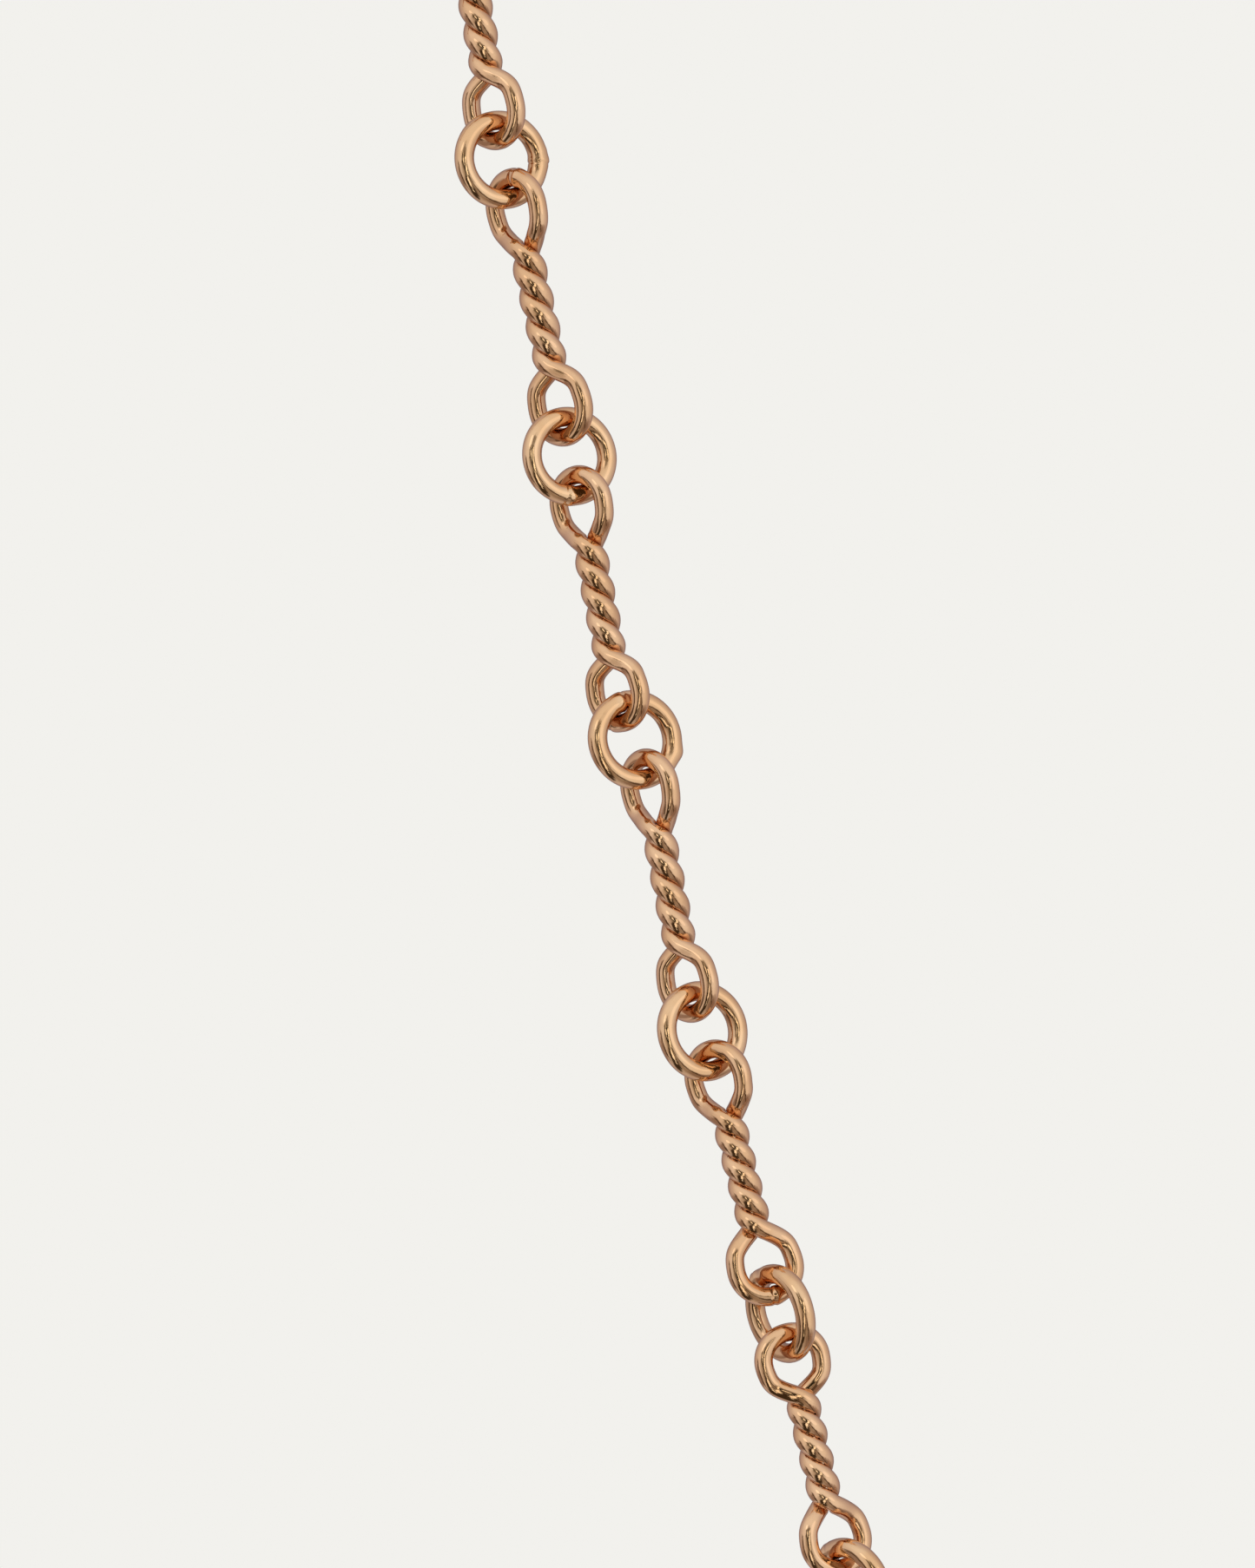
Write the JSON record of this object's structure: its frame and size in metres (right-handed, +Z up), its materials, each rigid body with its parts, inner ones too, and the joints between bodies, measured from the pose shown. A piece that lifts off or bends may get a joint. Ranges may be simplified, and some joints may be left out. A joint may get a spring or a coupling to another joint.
{
  "type": "pocket watch chain",
  "caption": "Slim chain of twisted wire links joined by round jump rings, with a T-bar at one end and a swivel clip for a watch at the other.",
  "frame": {"origin": "centre of the underside of the box that the chain fills as it lies on a surface", "axes": "+Z up from the surface, +Y along the lying chain towards the T-bar end, +X to the clip's side; the T-bar lies along Y and the clip along X"},
  "size_m": [0.1312, 0.1868, 0.0054],
  "materials": {
    "link_wire": "polished rose gold wire",
    "ring_wire": "polished rose gold wire",
    "fitting": "polished rose gold",
    "spring_steel": "spring temper"
  },
  "bodies": {
    "link_01": {"link_01": "link_wire"},
    "link_02": {"link_02": "link_wire"},
    "link_03": {"link_03": "link_wire"},
    "link_04": {"link_04": "link_wire"},
    "link_05": {"link_05": "link_wire"},
    "link_06": {"link_06": "link_wire"},
    "link_07": {"link_07": "link_wire"},
    "link_08": {"link_08": "link_wire"},
    "link_09": {"link_09": "link_wire"},
    "link_10": {"link_10": "link_wire"},
    "link_11": {"link_11": "link_wire"},
    "ring_01": {"ring_01": "ring_wire"},
    "ring_02": {"ring_02": "ring_wire"},
    "ring_03": {"ring_03": "ring_wire"},
    "ring_04": {"ring_04": "ring_wire"},
    "ring_05": {"ring_05": "ring_wire"},
    "ring_06": {"ring_06": "ring_wire"},
    "ring_07": {"ring_07": "ring_wire"},
    "ring_08": {"ring_08": "ring_wire"},
    "ring_09": {"ring_09": "ring_wire"},
    "ring_10": {"ring_10": "ring_wire"},
    "ring_11": {"ring_11": "ring_wire"},
    "ring_12": {"ring_12": "ring_wire"},
    "swivel_bow": {"swivel_bow": "fitting"},
    "swivel_gate": {"swivel_gate": "fitting"},
    "swivel_hook": {"swivel_hook": "fitting", "gate_pin": "fitting", "gate_spring": "spring_steel"},
    "t_bar": {"t_bar": "fitting"},
    "t_bar_bail": {"t_bar_bail": "fitting"}
  },
  "joints": [
    {"name": "ring_06_swing", "type": "hinge", "parent": "link_06", "child": "ring_06", "pos_m": [-0.01448, -0.00458, 0.00206], "axis": [0.6574, 0.125, 0.7431], "range_deg": [-50, 50]},
    {"name": "link_05_swing", "type": "hinge", "parent": "ring_06", "child": "link_05", "pos_m": [-0.0157, -0.00085, 0.00207], "axis": [-0.8931, -0.2228, 0.3907], "range_deg": [-60, 60]},
    {"name": "ring_05_swing", "type": "hinge", "parent": "link_05", "child": "ring_05", "pos_m": [-0.019, 0.01405, 0.00192], "axis": [-0.7285, -0.1469, -0.6691], "range_deg": [-50, 50]},
    {"name": "link_04_swing", "type": "hinge", "parent": "ring_05", "child": "link_04", "pos_m": [-0.01993, 0.01785, 0.00189], "axis": [0.8938, 0.1892, -0.4067], "range_deg": [-60, 60]},
    {"name": "ring_04_swing", "type": "hinge", "parent": "link_04", "child": "ring_04", "pos_m": [-0.02332, 0.03361, 0.00198], "axis": [0.6909, 0.1504, 0.7071], "range_deg": [-50, 50]},
    {"name": "link_03_swing", "type": "hinge", "parent": "ring_04", "child": "link_03", "pos_m": [-0.02432, 0.03738, 0.00195], "axis": [-0.8869, -0.1465, 0.4382], "range_deg": [-60, 60]},
    {"name": "ring_03_swing", "type": "hinge", "parent": "link_03", "child": "ring_03", "pos_m": [-0.02695, 0.05276, 0.00197], "axis": [-0.7083, -0.1258, -0.6947], "range_deg": [-50, 50]},
    {"name": "link_02_swing", "type": "hinge", "parent": "ring_03", "child": "link_02", "pos_m": [-0.02877, 0.05615, 0.0022], "axis": [0.7268, 0.549, -0.4127], "range_deg": [-60, 60]},
    {"name": "ring_02_swing", "type": "hinge", "parent": "link_02", "child": "ring_02", "pos_m": [-0.03815, 0.06842, 0.00201], "axis": [0.5559, 0.4166, 0.7193], "range_deg": [-50, 50]},
    {"name": "link_01_swing", "type": "hinge", "parent": "ring_02", "child": "link_01", "pos_m": [-0.04126, 0.0706, 0.00229], "axis": [-0.3666, -0.8354, 0.4095], "range_deg": [-60, 60]},
    {"name": "ring_01_swing", "type": "hinge", "parent": "link_01", "child": "ring_01", "pos_m": [-0.05573, 0.07692, 0.00224], "axis": [-0.2698, -0.5835, -0.766], "range_deg": [-50, 50]},
    {"name": "ring_07_swing", "type": "hinge", "parent": "link_06", "child": "ring_07", "pos_m": [-0.01121, -0.02143, 0.00199], "axis": [0.6946, 0.1324, 0.7071], "range_deg": [-50, 50]},
    {"name": "link_07_swing", "type": "hinge", "parent": "ring_07", "child": "link_07", "pos_m": [-0.00996, -0.02516, 0.00203], "axis": [0.8557, 0.2177, -0.4695], "range_deg": [-60, 60]},
    {"name": "ring_08_swing", "type": "hinge", "parent": "link_07", "child": "ring_08", "pos_m": [-0.00604, -0.03998, 0.00271], "axis": [-0.9511, -0.2285, 0.2077], "range_deg": [-50, 50]},
    {"name": "link_08_swing", "type": "hinge", "parent": "ring_08", "child": "link_08", "pos_m": [-0.00485, -0.0437, 0.00274], "axis": [-0.5721, -0.135, -0.809], "range_deg": [-60, 60]},
    {"name": "ring_09_swing", "type": "hinge", "parent": "link_08", "child": "ring_09", "pos_m": [-0.00143, -0.05788, 0.00266], "axis": [0.8733, 0.2124, -0.4384], "range_deg": [-50, 50]},
    {"name": "link_09_swing", "type": "hinge", "parent": "ring_09", "child": "link_09", "pos_m": [0.00042, -0.06139, 0.00275], "axis": [0.5696, 0.3, 0.7652], "range_deg": [-60, 60]},
    {"name": "ring_10_swing", "type": "hinge", "parent": "link_09", "child": "ring_10", "pos_m": [0.00842, -0.07479, 0.00205], "axis": [-0.6116, -0.3793, 0.6943], "range_deg": [-50, 50]},
    {"name": "link_10_swing", "type": "hinge", "parent": "ring_10", "child": "link_10", "pos_m": [0.01123, -0.07736, 0.00222], "axis": [-0.482, -0.7714, -0.4153], "range_deg": [-60, 60]},
    {"name": "ring_11_swing", "type": "hinge", "parent": "link_10", "child": "ring_11", "pos_m": [0.02467, -0.08564, 0.00201], "axis": [0.3681, 0.5891, -0.7193], "range_deg": [-50, 50]},
    {"name": "link_11_swing", "type": "hinge", "parent": "ring_11", "child": "link_11", "pos_m": [0.02834, -0.08667, 0.00228], "axis": [0.0862, 0.9147, 0.3948], "range_deg": [-60, 60]},
    {"name": "ring_12_swing", "type": "hinge", "parent": "link_11", "child": "ring_12", "pos_m": [0.04371, -0.0882, 0.00247], "axis": [-0.0916, -0.7014, 0.7069], "range_deg": [-50, 50]},
    {"name": "bail_swing", "type": "hinge", "parent": "ring_01", "child": "t_bar_bail", "pos_m": [-0.05953, 0.07748, 0.00242], "axis": [0, -0.9584, 0.2854], "range_deg": [-60, 60]},
    {"name": "bar_spin", "type": "hinge", "parent": "t_bar_bail", "child": "t_bar", "pos_m": [-0.06339, 0.07743, 0.00225], "axis": [0, 1, 0], "continuous": true},
    {"name": "bow_swing", "type": "hinge", "parent": "ring_12", "child": "swivel_bow", "pos_m": [0.04761, -0.08836, 0.00258], "axis": [0, 0.914, 0.4058], "range_deg": [-60, 60]},
    {"name": "hook_swivel", "type": "hinge", "parent": "swivel_bow", "child": "swivel_hook", "pos_m": [0.06024, -0.08833, 0.0025], "axis": [1, 0, 0], "continuous": true},
    {"name": "gate_open", "type": "hinge", "parent": "swivel_hook", "child": "swivel_gate", "pos_m": [0.05504, -0.09008, 0.0025], "axis": [0, 0, 1], "range_deg": [0, 24], "stiffness_Nm_per_rad": 0.02, "springref_deg": -11.46}
  ]
}
